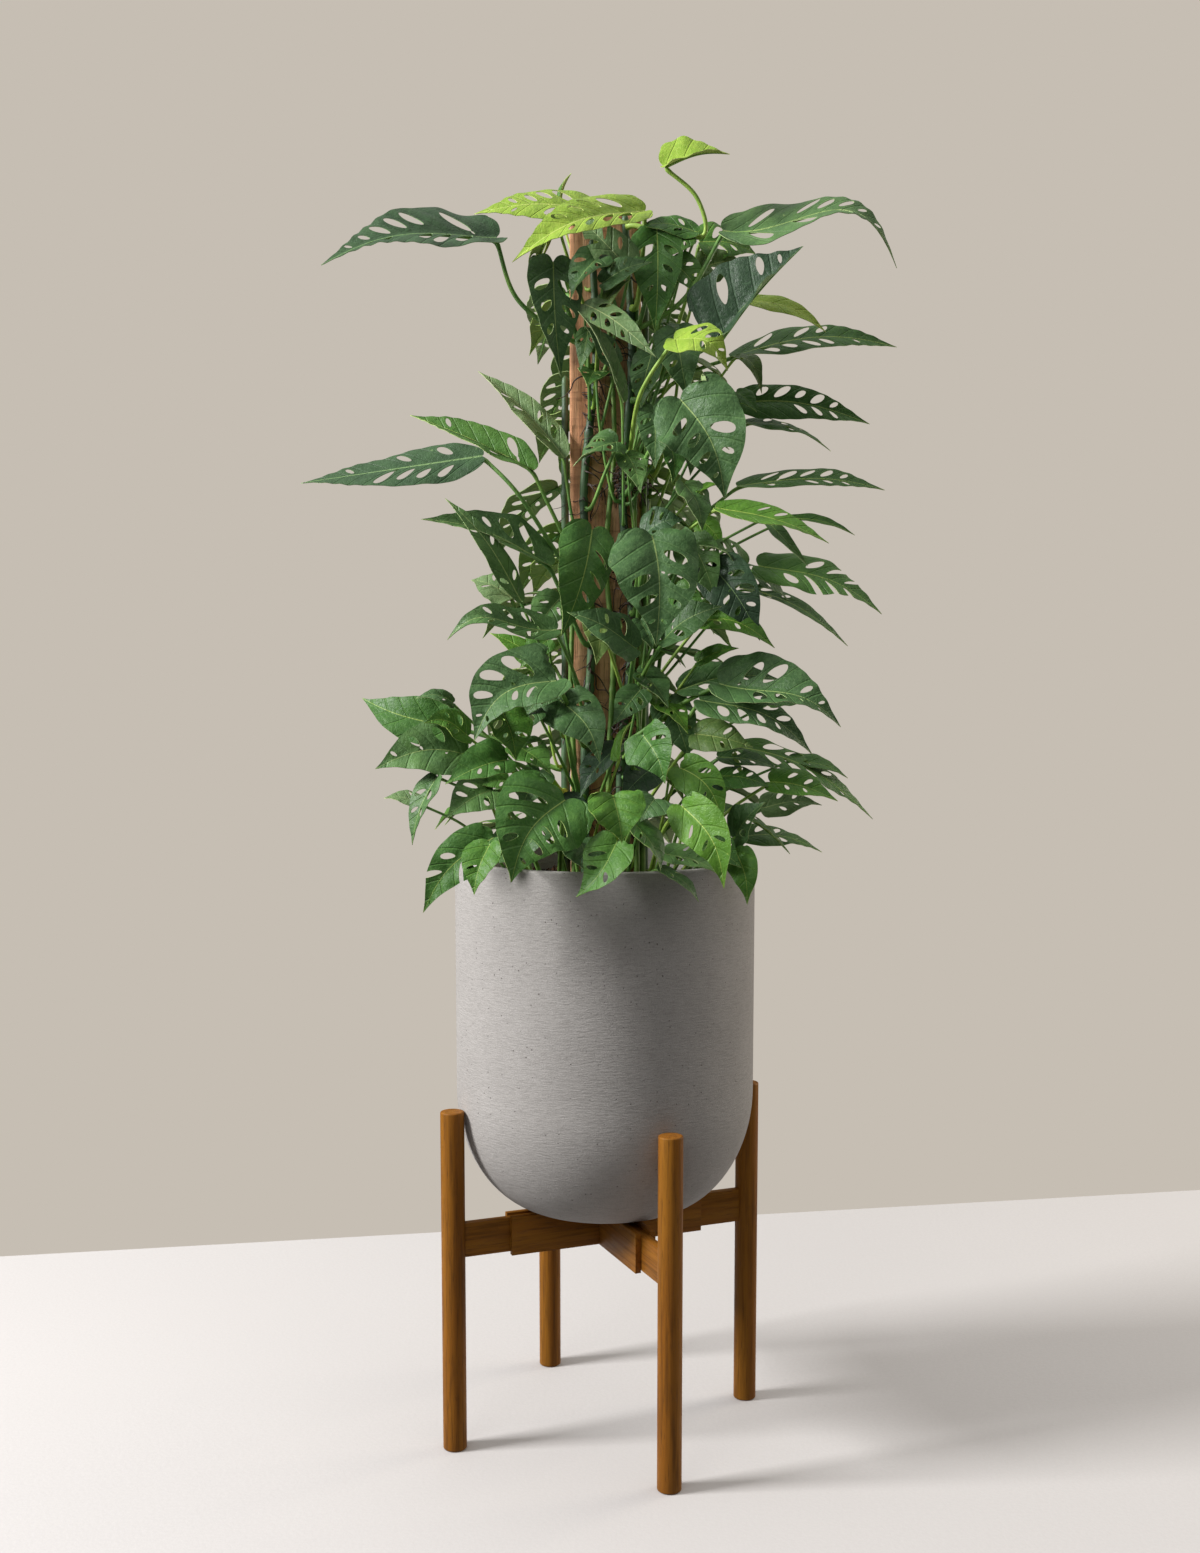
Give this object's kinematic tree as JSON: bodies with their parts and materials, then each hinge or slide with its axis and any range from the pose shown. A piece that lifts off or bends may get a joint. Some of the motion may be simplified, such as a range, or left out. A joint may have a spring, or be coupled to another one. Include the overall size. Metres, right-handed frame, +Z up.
{
  "type": "potted swiss cheese vine",
  "caption": "Climbing plant with pierced leaves on a timber stake, in a round-bottomed grey planter held in an adjustable wooden stand with sliding legs.",
  "frame": {"origin": "on the floor, on the axis of the pot and the stand", "axes": "+Z up along the stake, -Y towards the viewer of the picture, +X to that viewer's right"},
  "size_m": [0.5867, 0.4554, 1.2948],
  "materials": {
    "walnut": "satin",
    "stoneware": "matte",
    "soil": "matte",
    "rough_timber": "matte",
    "stem": "satin",
    "leaf_dark": "satin",
    "leaf_mid": "satin",
    "leaf_bright": "satin",
    "leaf_lime": "satin",
    "aerial_root": "matte"
  },
  "bodies": {
    "pot_and_cross": {"guide_key_right": "walnut", "guide_key_back": "walnut", "guide_key_left": "walnut", "guide_key_front": "walnut", "rail_long_front": "walnut", "rail_long_back": "walnut", "rail_cross_right": "walnut", "rail_cross_left": "walnut", "planter": "stoneware", "potting_soil": "soil", "stake": "rough_timber", "stem_front_left": "stem", "stem_front_right": "stem", "stem_left": "stem", "stem_right": "stem", "stem_back": "stem", "leaf_top_left": "leaf_dark", "leaf_top_arched": "leaf_lime", "leaf_top_new": "leaf_lime", "leaf_top_right": "leaf_dark", "leaf_dark_right": "leaf_dark", "leaf_tongue_right": "leaf_mid", "leaf_lime_right": "leaf_lime", "leaf_hanging_front": "leaf_dark", "leaf_folded_left": "leaf_mid", "leaf_finger_left": "leaf_mid", "leaf_long_left": "leaf_dark", "leaf_pierced_left": "leaf_dark", "leaf_edge_left": "leaf_dark", "leaf_big_lower_left": "leaf_dark", "leaf_far_left": "leaf_mid", "leaf_dark_left": "leaf_dark", "leaf_rim_left": "leaf_mid", "leaf_rim_front_left": "leaf_mid", "leaf_rim_middle": "leaf_bright", "leaf_rim_low": "leaf_mid", "leaf_rim_front_right": "leaf_bright", "leaf_rim_right": "leaf_bright", "leaf_low_middle": "leaf_bright", "leaf_low_right": "leaf_bright", "leaf_slotted_right": "leaf_dark", "leaf_under_right": "leaf_mid", "leaf_low_far_right": "leaf_mid", "leaf_big_front_left": "leaf_mid", "leaf_big_front_right": "leaf_dark", "leaf_narrow_right": "leaf_bright", "leaf_pointed_right": "leaf_mid", "leaf_lance_right": "leaf_mid", "leaf_fingered_right": "leaf_mid", "leaf_back_high": "leaf_dark", "leaf_back_middle": "leaf_dark", "leaf_back_low": "leaf_mid"},
    "limb_right": {"leg_right": "walnut", "arm_right": "walnut"},
    "limb_back": {"leg_back": "walnut", "arm_back": "walnut"},
    "limb_left": {"leg_left": "walnut", "arm_left": "walnut"},
    "limb_front": {"leg_front": "walnut", "arm_front": "walnut"}
  },
  "joints": [
    {"name": "slide_right", "type": "slide", "parent": "pot_and_cross", "child": "limb_right", "axis": [0.9265, 0.3762, 0], "range_m": [0, 0.035]},
    {"name": "slide_back", "type": "slide", "parent": "pot_and_cross", "child": "limb_back", "axis": [-0.3762, 0.9265, 0], "range_m": [0, 0.035]},
    {"name": "slide_left", "type": "slide", "parent": "pot_and_cross", "child": "limb_left", "axis": [-0.9265, -0.3762, 0], "range_m": [0, 0.035]},
    {"name": "slide_front", "type": "slide", "parent": "pot_and_cross", "child": "limb_front", "axis": [0.3762, -0.9265, 0], "range_m": [0, 0.035]}
  ]
}
